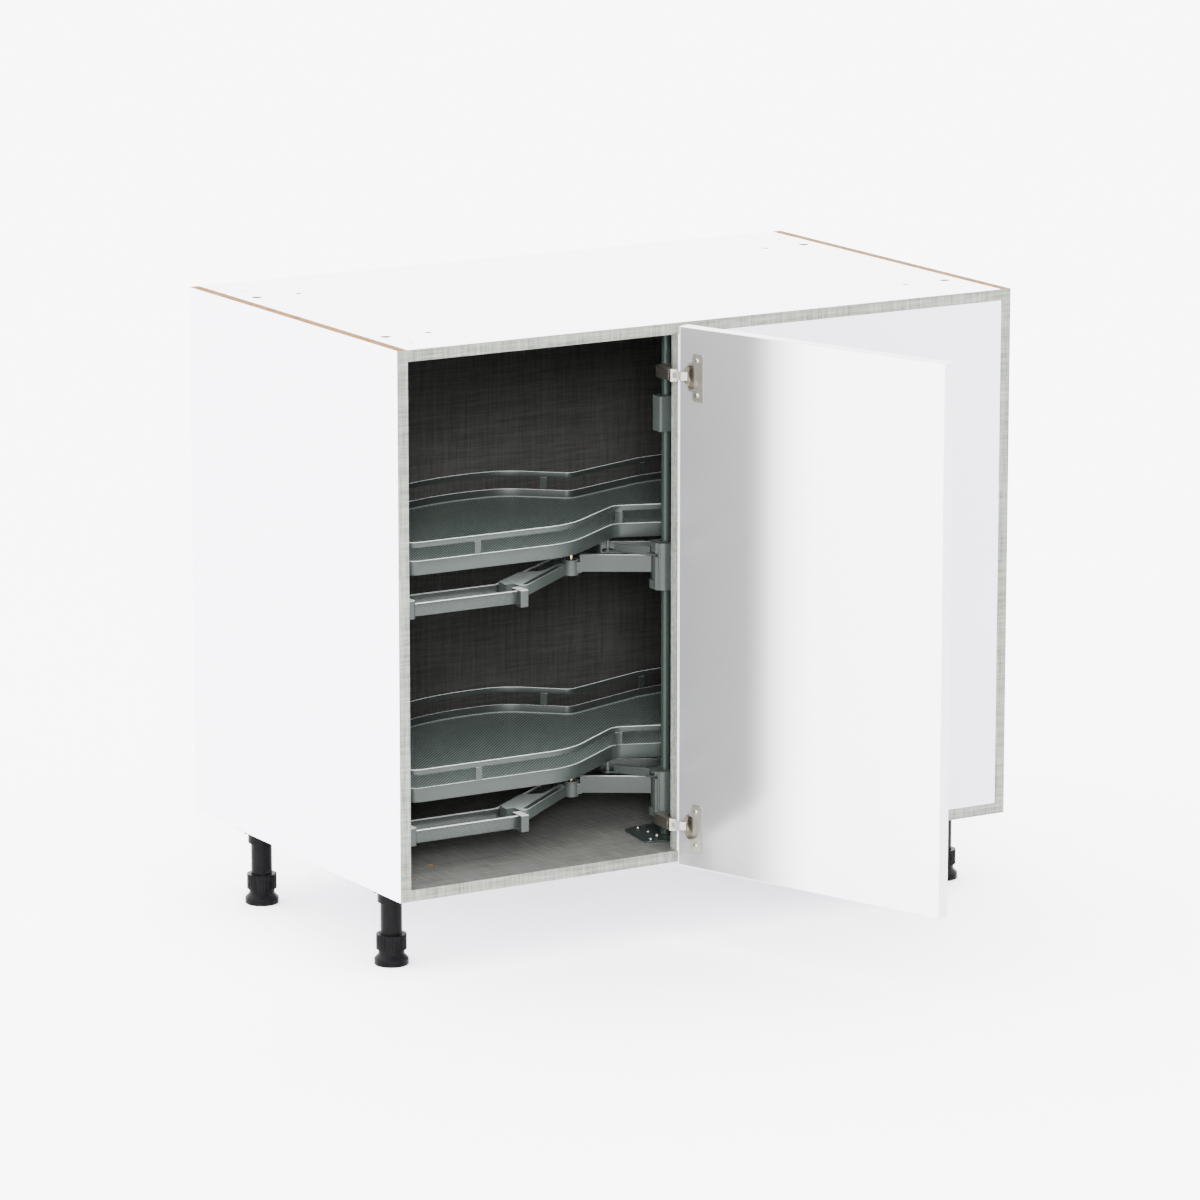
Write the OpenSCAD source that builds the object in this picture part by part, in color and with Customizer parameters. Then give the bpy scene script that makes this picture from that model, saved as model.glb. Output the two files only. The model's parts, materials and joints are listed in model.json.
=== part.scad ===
// Blind corner base cabinet: a box on four levelling legs, a hinged door beside a fixed
// blind panel, and two trays that swing out of the dead corner on a vertical post.
// Lengths are in millimetres and angles in degrees. The cabinet stands on z = 0, its
// open front looks along -y, and the door is drawn standing open.

/* [Carcass] */
// Overall width of the carcass
body_w = 990; // [940:10:1200]
// Depth of the side panels, front edge to rear edge
body_d = 605; // [590:5:680]
// Height of the carcass without its legs
body_h = 762; // [740:2:900]
// Thickness of the carcass boards
board_t = 16; // [15:1:19]
// Thickness of the back panel
back_t = 8; // [5:1:10]
// Distance from the rear edges to the back panel
back_inset = 20; // [12:1:30]
// Depth of the grooves that hold the back panel
groove_d = 8; // [5:0.5:10]
// Width of the door opening
opening_w = 423; // [418:1:440]
// Thickness of the front edge bands
edge_t = 0.8; // [0.4:0.1:2]

/* [Board fixings] */
// Diameter of the cam locks
cam_d = 15; // [12:1:15]
// Distance from a board's end to its cam locks
cam_in = 25; // [24:0.5:34]
// Distance from the front to the first row of cams
cam_front = 106; // [80:1:140]
// Distance from the front to the second row of cams
cam_rear = 478; // [420:1:500]
// Depth at which a cam sits below the board's face
cam_sink = 3; // [1:0.5:3]
// Diameter of the wooden dowels
dowel_d = 8; // [6:1:8]
// Length of the wooden dowels
dowel_l = 30; // [25:1:32]
// Distance from a cam to the dowel beside it
dowel_step = 32; // [25:1:40]
// Diameter of the worktop fixing holes
worktop_d = 10; // [6:0.5:12]
// Distance from the carcass's sides to the worktop fixing holes
worktop_in = 107; // [90:1:130]
// Diameter of the small corner holes in the top and bottom
corner_d = 5.5; // [3:0.5:7]

/* [Legs] */
// Height of the legs, floor to carcass
leg_h = 114; // [104:1:150]
// Diameter of the leg tubes
leg_d = 30; // [26:1:34]
// Distance from the carcass's sides to the leg centres
leg_side = 40; // [38:1:60]
// Distance from the front to the front legs
leg_front = 100; // [70:1:130]
// Distance from the front to the rear legs
leg_rear = 481; // [430:1:520]
// Diameter of the foot pads
pad_d = 48; // [46:1:54]
// Diameter of the knurled collars
collar_d = 42.5; // [41:0.5:46]
// Number of ribs round a collar
collar_ribs = 24; // [12:2:32]

/* [Door] */
// Thickness of the door
door_t = 18; // [16:1:22]
// Width by which the door covers the blind panel
door_cover = 17; // [14:0.5:20]
// Distance from the carcass's outline to the door's edges
door_margin = 1.5; // [1:0.5:3]
// Gap between the closed door and the carcass
door_gap = 2; // [1:0.5:3]
// Angle at which the door stands open
door_angle = 109; // [60:1:109]
// Distance from the door's hinge edge to the middle axis of its travel
axis_in = 6.7; // [6:0.1:7.5]
// Thickness of the door's edge band
door_band = 1; // [0.5:0.1:2]
// Distance from the opening's edge to the pins of the hinge arms
nose_in = 15; // [14:0.5:16]
// Distance from the door's middle axis to the pins of its hinge cups
pin_reach = 15; // [14:0.1:15.5]
// Height of the lower hinge above the carcass's underside
hinge_low = 58; // [50:1:80]
// Distance from the carcass's top to the upper hinge
hinge_high = 70; // [60:1:90]
// Diameter of the hinge cups
cup_d = 35; // [34:1:36]
// Distance from the door's hinge edge to the cup centres
cup_in = 22.5; // [22:0.5:23.5]

/* [Swing mechanism] */
// Diameter of the post
post_d = 14; // [12:1:14]
// Diameter of the arm pivots' pins
pivot_d = 6; // [5:0.5:7]
// Distance from the opening's edge to the arm pivots
pivot_in = 21; // [20:0.5:24]
// Distance from the front to the arm pivots
pivot_y = 92; // [90:1:96]
// Length of an arm between its two pivots
arm_l = 117.7; // [116:0.1:119]
// Direction of a stowed arm, from its pivot
arm_dir = 148.2; // [147:0.1:149]
// Height of an arm bar
arm_h = 24; // [22:1:30]
// Thickness of an arm bar
arm_t = 6; // [5:0.5:7]
// Swing of an arm from stowed to fully out
arm_swing = 58; // [30:1:60]
// Turn of a tray on its arm for each degree of the arm's swing
tray_turn = 0.3; // [0.25:0.01:0.32]
// Height of a hub block
hub_h = 66.7; // [66:0.1:70]
// Height of the lower hub above the carcass's underside
hub_z = 45.4; // [45:0.1:46]
// Height between the two hubs
hub_pitch = 326.5; // [326:0.1:328]

/* [Trays] */
// Height of the lower tray above the carcass's underside
tray_z = 120.5; // [120:0.1:121]
// Height between the two trays
tray_pitch = 317.5; // [317:0.1:318]
// Thickness of the rim strips
rim_t = 2; // [1.5:0.1:2.5]
// Height of the lower rim band
band_h = 20; // [16:1:24]
// Height of the window between band and rail
window_h = 18; // [12:1:30]
// Height of the top rail
rail_h = 8; // [6:1:12]
// Width of the posts that carry the top rail
rim_post_w = 10; // [8:1:14]
// Thickness of the tray board
floor_t = 7; // [5:0.5:9]
// Thickness of the mat on the tray board
mat_t = 1.5; // [1:0.5:3]
// Height of the carrier rails
bar_h = 18; // [14:1:20]
// Thickness of the carrier rails
bar_t = 5; // [4:0.5:6]

/* [Hidden] */
$fn = 48;

// Clearances
fit = 0.1;
slip = 0.2;
cut = 1;

// Heights and depths of the carcass
z_under = leg_h;
z_floor = z_under + board_t;
z_top = z_under + body_h;
z_ceil = z_top - board_t;
back_y = body_d - back_inset - back_t;
inner_w = body_w - 2 * board_t;
blind_x = board_t + opening_w;
blind_w = body_w - board_t - blind_x;

// Door in its closed place. Each hinge link turns on a pin in the hinge arm's nose and
// carries the door on a pin in the cup. The door's two end places are a turn about axis_at.
door_x = door_margin;
door_w = blind_x + door_cover - door_x;
door_h = body_h - 2 * door_margin;
door_z = z_under + door_margin;
door_y = -door_gap - door_t;
axis_at = [door_x + door_w - axis_in, door_y + 1];
hinge_zs = [z_under + hinge_low, z_top - hinge_high];
cup_x = door_x + door_w - cup_in;
cup_depth = 12.5;
cup_wall = 1.2;
flange_t = 1.5;
door_swing = 109;
nose_at = [blind_x - nose_in, -door_gap - 7];
cup_pin = axis_at + polar(pin_reach, heading(nose_at - axis_at) - door_swing / 2);
open_pin = axis_at + turned(cup_pin - axis_at, door_swing);
hinge_link_l = norm(cup_pin - nose_at);
shut_dir = heading(cup_pin - nose_at);
open_dir = heading(open_pin - nose_at);
hinge_link_dir = shut_dir + (open_dir - shut_dir) * door_angle / door_swing;
door_pin = nose_at + polar(hinge_link_l, hinge_link_dir);

// Free inner corner of the open door, which sets the middle of the whole in depth
free_corner = turned([door_x, -door_gap] - cup_pin, door_angle) + door_pin;
mid_y = (body_d + free_corner[1]) / 2;

// Board fixings
cam_h = 10.5;
cam_bore = cam_h + cam_sink;
cam_bolt_d = 6;
cam_thread_d = 5;
cam_thread_l = 11;
dowel_side = 11;
blind_dowel_l = dowel_l - 2;
blind_dowels = [blind_x + 100, body_w - board_t - 94];
corner_front = 50;
corner_rear = body_d - 71;
corner_in = 48.5;

// Hinge links: half height of the link and of the arm's eye, pins, and where the neck ends
hinge_half = 6;
hinge_eye_h = 3.5;
hinge_link_t = 2.2;
nose_r = 3.2;
nose_pin_h = 8.5;
nose_pin_d = 3;
cup_pin_d = 2.6;
cup_eye_d = 5.2;
neck_y = nose_at[1] + nose_r + 0.6;
arm_box_h = 15;

// Screws of the hinge cups, from the cup, and hinge plates, from the opening's edge
flange_screw_x = -9.5;
flange_screw_z = 24;
plate_screw_x = 24;
plate_screw_z = 16;
plate_h = 3;

// Screws and their holes
screw_d = 2.9;
pilot_d = screw_d + fit;
head_h = 2;

// Legs
leg_spots = [
  [leg_side, leg_front], [body_w - leg_side, leg_front],
  [leg_side, leg_rear], [body_w - leg_side, leg_rear]
];
leg_bore = leg_d - 6;
socket_d = leg_d + 8;
socket_h = 25;
socket_plate_t = 5;
pad_h = 15;
collar_z = 22;
collar_h = 21.5;
tube_z = 20;
spindle_d = leg_bore - 2 * slip;
spindle_top = 82;
foot_floor = 8;
leg_screw_spread = [40, 38];

// Pivots of the swing mechanism, in plan
arm_pivot = [blind_x + pivot_in, pivot_y];
cup_pivot = arm_tip(0);
post_at = arm_pivot + [11, -10];
stud_off = [52, -13];
link_pivot = circle_centre(stud_at(0.05), stud_at(0.5), stud_at(0.95));
link_l = norm(stud_at(0.5) - link_pivot);
link_dir = heading(stud_at(0) - link_pivot);
stud_d = 5;
link_t = 3;
link_bar_h = 12;
link_eye_r = 5;
link_hole_r = 5;
stud_eye_r = 8;

// Heights of the swing mechanism, measured down from a tray's underside
arm_drop = 19.5;
bar_drop = 36;
cup_drop = 26.5;
channel_drop = 33;
link_rise = 1.2;
cup_h = 21.5;
pivot_cup_d = 22;
pivot_cup_bore = 17;
pivot_floor = 2.5;
arm_gap = 1.2;
neck_h = 14;
channel_h = 14.6;
roof_t = 5;
post_plate_t = 3;
clip_h = 50;
clip_drop = 166;
barrel_d = 13;
ear_b = 12;
ear_gap = 5.2;
link_pin_sink = 3;
pin_cap = 3;
link_pin_cap = 4;
link_seat = 0.8;
eye_gap = 0.3;
eye_drop = cup_drop + cup_h - pivot_floor - eye_gap - arm_drop;
neck_l = 15;
rim_h = band_h + window_h + rail_h;

// Hub in plan, from the arm pivot: the round of its ears, the corners of its body, the ribs
// down its front corner, and the far and near edges of its window and of the link's slot
ear_r = 8.5;
link_ear_r = 6.5;
hub_corner_r = 6;
hub_corners = [[2, -20], [24, -20], [24, 0.5]];
hub_ribs = [[-8.2, -15.4], [-5.5, -19.6]];
rib_r = 1.8;
window_x = [-40, 3.2];
window_y = -9.2;
slot_y = -20.3;

// Screws of the post's plates, from the arm pivot
plate_screw_spots = [[-5, 38], [-4, 12], [-4, -12], [-23, -27]];

// Control link: width of its flats, their reach beyond its eyes, and where its bar starts
link_w = 8;
link_flat = [18, 14];
bar_from = 14;
bar_to = 10;

// Channel between the pivot cup and the front rail: its direction, length, rear edge, the
// places of its front wall at both ends, the thickness of that wall and its open slot
channel_dir = 215.4;
channel_l = 165.5;
plate_v = -43;
wall_near = -4.4;
wall_far = 3;
channel_wall = 2.4;
slot_w = 7;
slot_depth = 8;
rail_y = -102;
rail_start = [board_t + 20 - cup_pivot[0], rail_y];
socket_x = -147;
socket_w = 13;
socket_grip = 9;
clamp_w = 19;
clamp_side = 8;
bend_u = 152;
far_bend_u = -13;

// Corners of a tray seen from above, from its pivot: x, y and the rounding radius
tray_left = board_t + 21 - cup_pivot[0];
tray_front = [
  [tray_left + 13, -94, 22], [-55, -94, 108], [61.5, -12.8, 22], [190, -60.6, 300], [486, -64, 72]
];
tray_rear = [[397, 283, 22], [272, 270, 60], [130.3, 222.1, 14], [56.5, 288, 86]];
lobe_r = 490;
left_c = [2, -34];
left_r = left_c[0] - tray_left;
rim_spots = [
  [-203, -94, 0], [68, -15, 10], [280, -64, 0], [489, 40, 85], [278, 271, 17],
  [101, 248, -42], [-150, 253, 28], [tray_left + 15, 58, 73]
];

function turned(v, a) = [v[0] * cos(a) - v[1] * sin(a), v[0] * sin(a) + v[1] * cos(a)];
function polar(r, a) = [r * cos(a), r * sin(a)];
function heading(v) = atan2(v[1], v[0]);
function unit(v) = v / norm(v);
function left_of(v) = [-v[1], v[0]];
function xy(p) = [p[0], p[1]];
function arm_tip(part) = arm_pivot + polar(arm_l, arm_dir + arm_swing * part);
function stud_at(part) = arm_tip(part) + turned(stud_off, arm_swing * (1 + tray_turn) * part);

// Centre of the circle through three points
function circle_centre(a, b, c) =
  let (
    u = b - a,
    v = c - a,
    d = 2 * (u[0] * v[1] - u[1] * v[0])
  )
  a + [v[1] * (u * u) - u[1] * (v * v), u[0] * (v * v) - v[0] * (u * u)] / d;

// Points along an arc
function arc(c, r, a0, a1, n) = [for (i = [0:n]) c + polar(r, a0 + (a1 - a0) * i / n)];

// Rounding of one corner q between its neighbours p and s
function fillet(p, q, s, r) =
  let (
    u = unit(p - q),
    w = unit(s - q),
    half = acos(u * w) / 2,
    c = q + unit(u + w) * r / sin(half),
    a0 = heading(q + u * r / tan(half) - c),
    a1 = heading(q + w * r / tan(half) - c),
    turn = a1 - a0 > 180 ? a1 - a0 - 360 : a1 - a0 < -180 ? a1 - a0 + 360 : a1 - a0,
    n = max(2, ceil(abs(turn) / 9))
  )
  arc(c, r, a0, a0 + turn, n);

// Closed outline through corners [x, y, r], each rounded to its own radius
function rounded(corners) =
  let (n = len(corners))
  [
    for (i = [0:n - 1])
      let (
        p = xy(corners[(i + n - 1) % n]),
        q = xy(corners[i]),
        s = xy(corners[(i + 1) % n]),
        r = corners[i][2]
      )
      each (r > 0 ? fillet(p, q, s, r) : [q])
  ];

// Open path through corners [x, y, r]
function rounded_path(corners) =
  let (n = len(corners))
  [
    for (i = [0:n - 1])
      let (r = corners[i][2])
      each (i == 0 || i == n - 1 || r == 0
        ? [xy(corners[i])]
        : fillet(xy(corners[i - 1]), xy(corners[i]), xy(corners[i + 1]), r))
  ];

// Point of a line of points moved sideways by d, to the left of its direction
function shifted(p, q, s, d) =
  let (
    a = left_of(unit(q - p)),
    b = left_of(unit(s - q))
  )
  q + (a + b) / (1 + a * b) * d;

// Closed anticlockwise outline drawn inwards by d
function inset(pts, d) =
  let (n = len(pts))
  [for (i = [0:n - 1]) shifted(pts[(i + n - 1) % n], pts[i], pts[(i + 1) % n], d)];

// Open path moved sideways by d
function beside(pts, d) =
  let (n = len(pts))
  [
    for (i = [0:n - 1])
      shifted(
        i == 0 ? 2 * pts[0] - pts[1] : pts[i - 1],
        pts[i],
        i == n - 1 ? 2 * pts[i] - pts[i - 1] : pts[i + 1],
        d
      )
  ];

// Outline of a strip of thickness t along an open path
function strip(pts, t) =
  let (
    a = beside(pts, t / 2),
    b = beside(pts, -t / 2),
    n = len(pts)
  )
  concat(b, [for (i = [0:n - 1]) a[n - 1 - i]]);

tray_outline = rounded(concat(
  tray_front,
  [for (p = arc([0, 0], lobe_r, 4, 33, 8)) [p[0], p[1], 0]],
  tray_rear,
  [for (p = arc(left_c, left_r, 86, 176, 20)) [p[0], p[1], 0]],
  [[tray_left + 1, -32, 30]]
));

// Place along and beside the channel, from the tray's pivot
function on_channel(u, v) = turned([u, v], channel_dir);
function wall_v(u) = wall_near + (wall_far - wall_near) * u / (channel_l - 12);
function slot_v(u) = wall_v(u) - channel_wall;

rear_bend = on_channel(bend_u, plate_v - bar_t / 2);
far_bend = on_channel(far_bend_u, plate_v - bar_t / 2);
rear_path = rounded_path([
  [rail_start[0], rear_bend[1], 0],
  [rear_bend[0], rear_bend[1], 14],
  [far_bend[0], far_bend[1], 60],
  [118, 130, 14],
  [185, 92, 10],
  [322, 14, 0]
]);

// Flat shape drawn between two heights
module slab(z0, z1) {
  translate([0, 0, z0]) linear_extrude(z1 - z0) children();
}

// Everything is drawn from the carcass's front left corner and moved to the middle
module placed() {
  translate([-body_w / 2, -mid_y, 0]) children();
}

// Door pieces are drawn in their closed place and carried out by the hinge links
module door_turned() {
  placed()
    translate([door_pin[0], door_pin[1], 0])
      rotate([0, 0, door_angle])
        translate([-cup_pin[0], -cup_pin[1], 0])
          children();
}

// Tray pieces are drawn from the tray's pivot at the height of the tray's underside
module on_tray(i) {
  placed()
    translate([cup_pivot[0], cup_pivot[1], z_under + tray_z + i * tray_pitch])
      children();
}

module both_ends() {
  children();
  translate([body_w, 0, 0]) mirror([1, 0, 0]) children();
}

module bore(x, y, z0, z1, d) {
  translate([x, y, z0]) cylinder(d = d, h = z1 - z0);
}

module bore_x(x0, x1, y, z, d) {
  translate([x0, y, z]) rotate([0, 90, 0]) cylinder(d = d, h = x1 - x0);
}

// Side panel at the left, with its bores and its groove for the back panel
module side_board() {
  difference() {
    translate([0, edge_t, z_under]) cube([board_t, body_d - edge_t, body_h]);
    translate([board_t - groove_d, back_y - slip, z_under + board_t - groove_d])
      cube([groove_d + cut, back_t + 2 * slip, body_h - 2 * (board_t - groove_d)]);
    for (z = [z_under + board_t / 2, z_top - board_t / 2]) {
      for (y = [cam_front, cam_rear])
        bore_x(board_t - cam_thread_l - fit, board_t + cut, y, z, cam_thread_d);
      for (y = [cam_front + dowel_step, cam_rear - dowel_step])
        bore_x(board_t - dowel_side - fit, board_t + cut, y, z, dowel_d + fit);
    }
  }
}

module left_side_panel() {
  color("white") placed() side_board();
}

module right_side_panel() {
  color("white") placed() translate([body_w, 0, 0]) mirror([1, 0, 0]) side_board();
}

// Board between the sides, seen with its cam bores on top
module level_board() {
  difference() {
    translate([board_t, edge_t, 0]) cube([inner_w, body_d - edge_t, board_t]);
    translate([board_t - cut, back_y - slip, -cut])
      cube([inner_w + 2 * cut, back_t + 2 * slip, groove_d + cut]);
    both_ends() {
      for (y = [cam_front, cam_rear]) {
        bore(board_t + cam_in, y, board_t - cam_bore, board_t + cut, cam_d);
        bore_x(board_t - cut, board_t + cam_in, y, board_t / 2, cam_bolt_d + 2);
        bore(worktop_in, y, -cut, board_t + cut, worktop_d);
      }
      for (y = [cam_front + dowel_step, cam_rear - dowel_step])
        bore_x(board_t - cut, board_t + dowel_l - dowel_side + fit, y, board_t / 2, dowel_d + fit);
      for (y = [corner_front, corner_rear])
        bore(corner_in, y, -cut, board_t + cut, corner_d);
    }
    for (x = blind_dowels)
      bore(x, board_t / 2, -cut, dowel_side - 2 + fit, dowel_d + fit);
  }
}

module top_panel() {
  color("white") placed()
    difference() {
      translate([0, 0, z_ceil]) level_board();
      translate([0, 0, z_ceil]) plate_screw_places() bore(0, 0, -cut, board_t - 4, pilot_d);
    }
}

module bottom_panel() {
  color("silver") placed()
    difference() {
      translate([0, 0, z_floor]) mirror([0, 0, 1]) level_board();
      leg_screw_places() bore(0, 0, -cut, board_t - 4, pilot_d);
      translate([0, 0, z_floor]) plate_screw_places() bore(0, 0, 4 - board_t, cut, pilot_d);
    }
}

module back_panel() {
  color("dimgray") placed()
    translate([board_t - groove_d + slip, back_y, z_floor - groove_d + slip])
      cube([
        inner_w + 2 * (groove_d - slip),
        back_t,
        body_h - 2 * board_t + 2 * (groove_d - slip)
      ]);
}

module blind_panel() {
  color("white") placed()
    difference() {
      translate([blind_x + edge_t, 0, z_floor]) cube([blind_w - edge_t, board_t, z_ceil - z_floor]);
      for (x = blind_dowels) {
        bore(x, board_t / 2, z_floor - cut, z_floor + 19 + fit, dowel_d + fit);
        bore(x, board_t / 2, z_ceil - 19 - fit, z_ceil + cut, dowel_d + fit);
      }
      plate_hole_places() rotate([-90, 0, 0]) bore(0, 0, 4 - board_t, cut, pilot_d);
    }
}

module front_edge_bands() {
  color("darkgray") placed() {
    both_ends() translate([0, 0, z_under]) cube([board_t, edge_t, body_h]);
    for (z = [z_under, z_ceil]) translate([board_t, 0, z]) cube([inner_w, edge_t, board_t]);
    translate([blind_x, 0, z_floor]) cube([edge_t, board_t, z_ceil - z_floor]);
  }
}

// Cam lock with its bolt mouth and its cross slot, at the height of a board's underside
module cam_lock() {
  translate([0, 0, board_t - cam_bore])
    difference() {
      cylinder(d = cam_d - 2 * fit, h = cam_h);
      translate([-cam_d, -3.6, cam_bore - board_t / 2 - 3.6]) cube([cam_d + 4.5, 7.2, 7.2]);
      for (a = [0, 90])
        rotate([0, 0, a]) translate([-4.5, -0.7, cam_h - 1.5]) cube([9, 1.4, cut + 1.5]);
    }
}

// Turned bolt that runs from a side panel into the cam beside it
module cam_bolt() {
  reach = cam_in + cam_thread_l;
  translate([board_t - cam_thread_l, 0, board_t / 2])
    rotate([0, 90, 0])
      rotate_extrude()
        polygon([
          [0, 0], [cam_thread_d / 2 - fit / 2, 0], [cam_thread_d / 2 - fit / 2, cam_thread_l],
          [cam_bolt_d / 2, cam_thread_l], [cam_bolt_d / 2, reach - 9], [2, reach - 8],
          [2, reach - 2.5], [3.2, reach - 1.5], [3.2, reach + 0.5], [2.2, reach + 1.5],
          [0, reach + 1.5]
        ]);
}

module at_board_ends(rows) {
  for (y = rows) {
    both_ends() translate([0, y, z_ceil]) children();
    both_ends() translate([0, y, z_floor]) mirror([0, 0, 1]) children();
  }
}

module cam_locks() {
  color("gainsboro") placed()
    at_board_ends([cam_front, cam_rear]) translate([board_t + cam_in, 0, 0]) cam_lock();
}

module cam_bolts() {
  color("silver") placed() at_board_ends([cam_front, cam_rear]) cam_bolt();
}

module dowel(l) {
  rotate_extrude()
    polygon([[0, 0], [dowel_d / 2 - 1, 0], [dowel_d / 2, 1], [dowel_d / 2, l - 1], [dowel_d / 2 - 1, l], [0, l]]);
}

module dowels() {
  color("burlywood") placed() {
    at_board_ends([cam_front + dowel_step, cam_rear - dowel_step])
      translate([board_t - dowel_side, 0, board_t / 2]) rotate([0, 90, 0]) dowel(dowel_l);
    for (x = blind_dowels) {
      translate([x, board_t / 2, z_ceil - 19]) dowel(blind_dowel_l);
      translate([x, board_t / 2, z_floor + 19]) mirror([0, 0, 1]) dowel(blind_dowel_l);
    }
  }
}

// Door
module at_hinges() {
  for (z = hinge_zs) translate([0, 0, z]) children();
}

module door_panel() {
  color("white") door_turned()
    difference() {
      translate([door_x + door_band, door_y, door_z + door_band])
        cube([door_w - 2 * door_band, door_t, door_h - 2 * door_band]);
      at_hinges() {
        translate([cup_x, -door_gap + cut, 0]) rotate([90, 0, 0])
          cylinder(d = cup_d, h = cup_depth + fit + cut);
        cup_screw_places() translate([0, cut, 0]) rotate([90, 0, 0])
          cylinder(d = pilot_d, h = 11 + cut);
      }
    }
}

module door_edge_band() {
  color("whitesmoke") door_turned()
    difference() {
      translate([door_x, door_y, door_z]) cube([door_w, door_t, door_h]);
      translate([door_x + door_band, door_y - cut, door_z + door_band])
        cube([door_w - 2 * door_band, door_t + 2 * cut, door_h - 2 * door_band]);
    }
}

module cup_screw_places() {
  for (z = [-flange_screw_z, flange_screw_z])
    translate([cup_x + flange_screw_x, -door_gap, z]) children();
}

// Pressed flange of a hinge cup, seen from inside the cabinet, in x and z
module flange_face() {
  polygon(rounded([
    [-19, -33, 3], [-2, -33, 4], [-1, -19.5, 3], [7, -18.5, 4], [7, 18.5, 4],
    [-1, 19.5, 3], [-2, 33, 4], [-19, 33, 3]
  ]));
}

// Hinge cup with its flange, and two lugs that carry the pin of the hinge link
module hinge_cup() {
  pin_depth = -door_gap - cup_pin[1];
  translate([cup_x, -door_gap, 0])
    rotate([90, 0, 0]) {
      difference() {
        union() {
          cylinder(d = cup_d - 2 * fit, h = cup_depth);
          translate([0, 0, -flange_t]) linear_extrude(flange_t) mirror([0, 1, 0]) flange_face();
        }
        translate([0, 0, -flange_t - cut])
          cylinder(d = cup_d - 2 * cup_wall, h = cup_depth - cup_wall + flange_t + cut);
        for (z = [-flange_screw_z, flange_screw_z])
          translate([flange_screw_x, z, -flange_t - cut]) cylinder(d = 3.6, h = flange_t + 2 * cut);
      }
      intersection() {
        cylinder(d = cup_d - cup_wall, h = cup_depth);
        for (side = [0, 1])
          mirror([0, side, 0])
            translate([cup_pin[0] - cup_x - 2.2, hinge_half + slip, 0.3]) cube([4.4, cup_d / 2, 5]);
      }
      translate([cup_pin[0] - cup_x, 0, pin_depth])
        rotate([90, 0, 0]) cylinder(d = cup_pin_d, h = 2 * hinge_half + 4, center = true);
    }
}

module hinge_cups() {
  color("tan") door_turned() at_hinges() hinge_cup();
}

// Link from the pin in a hinge arm's nose, over the cup's rim, to the pin in the cup
module hinge_link(i) {
  path = rounded_path([
    [3, -0.6, 0], [8, -1.4, 6], [hinge_link_l - 7, -2.8, 5], [hinge_link_l - 3, -2.8, 3],
    [hinge_link_l, -0.6, 0]
  ]);
  wide = rounded_path([[0, -1.6, 0], [4, -1.4, 2], [9, -1.6, 0]]);
  color("tan") placed()
    translate([nose_at[0], nose_at[1], hinge_zs[i]])
      rotate([0, 0, hinge_link_dir])
        difference() {
          union() {
            difference() {
              slab(-hinge_half, hinge_half) polygon(strip(path, hinge_link_t));
              slab(-hinge_eye_h - slip, hinge_eye_h + slip) circle(r = nose_r + slip);
            }
            slab(-hinge_half, hinge_half) translate([hinge_link_l, 0]) circle(d = cup_eye_d);
            for (side = [0, 1])
              mirror([0, 0, side])
                slab(hinge_eye_h + slip, nose_pin_h) {
                  circle(r = nose_r);
                  polygon(strip(wide, hinge_link_t));
                }
          }
          slab(-nose_pin_h - cut, nose_pin_h + cut) circle(d = nose_pin_d + fit);
          slab(-nose_pin_h - cut, nose_pin_h + cut)
            translate([hinge_link_l, 0]) circle(d = cup_pin_d + fit);
        }
}

// Pan head screw that points along +z, its head seated on z = 0
module screw(head_d, l) {
  difference() {
    rotate_extrude()
      polygon([
        [0, -head_h], [head_d / 2 - 1.4, -head_h], [head_d / 2, 1 - head_h], [head_d / 2, 0],
        [screw_d / 2, 0], [screw_d / 2, l - 2], [0, l]
      ]);
    for (a = [0, 90])
      rotate([0, 0, a])
        translate([-head_d / 3, -0.4, -head_h - cut]) cube([head_d / 1.5, 0.8, cut + 1.2]);
  }
}

module hinge_cup_screws() {
  color("silver") door_turned() at_hinges() cup_screw_places()
    translate([0, flange_t, 0]) rotate([90, 0, 0]) screw(6.5, 11);
}

// Hinge arms and their plates on the back of the blind panel, from the opening's edge
module plate_hole_places() {
  for (hz = hinge_zs, z = [-plate_screw_z, plate_screw_z])
    translate([blind_x + plate_screw_x, board_t, hz + z]) children();
}

module hinge_plates() {
  color("silver") placed()
    difference() {
      at_hinges() translate([blind_x, board_t, 0]) {
        translate([6, 0, -7]) cube([46, plate_h, 14]);
        translate([plate_screw_x - 8, 0, -22]) cube([16, plate_h, 44]);
      }
      plate_hole_places() rotate([-90, 0, 0]) bore(0, 0, -cut, plate_h + cut, 3.4);
    }
}

// Hinge arm, in plan from the opening's edge: a box on the hinge plate and a nose round it
function hinge_arm_plan() = rounded([
  [50, board_t + plate_h, 1.5], [50, board_t + 17, 6], [-4, board_t + 22, 8],
  [-nose_in - nose_r, board_t + 14, 8], [-nose_in - nose_r, neck_y, 0],
  [-nose_in + nose_r, neck_y, 0], [-8, board_t - 8, 6], [-2, board_t + plate_h, 3]
]);

module hinge_arms() {
  color("silver") placed() at_hinges() {
    translate([blind_x, 0, 0])
      difference() {
        slab(-arm_box_h / 2, arm_box_h / 2) polygon(hinge_arm_plan());
        translate([37, board_t + 10, 0]) rotate([-90, 0, 0]) cylinder(d = 6, h = 12);
      }
    translate([nose_at[0], nose_at[1], 0]) {
      slab(-hinge_eye_h, hinge_eye_h) {
        circle(r = nose_r - 0.2);
        translate([0.2 - nose_r, 0]) square([2 * (nose_r - 0.2), neck_y - nose_at[1] + cut]);
      }
      slab(-nose_pin_h, nose_pin_h) circle(d = nose_pin_d);
    }
  }
}

// Screws in the undersides of boards and in the blind panel
module leg_screw_places() {
  for (p = leg_spots, sx = [-1, 1], sy = [-1, 1])
    translate([p[0] + sx * leg_screw_spread[0] / 2, p[1] + sy * leg_screw_spread[1] / 2, z_under])
      children();
}

module plate_screw_places() {
  for (p = plate_screw_spots)
    translate([arm_pivot[0] + p[0], arm_pivot[1] + p[1], 0]) children();
}

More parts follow.
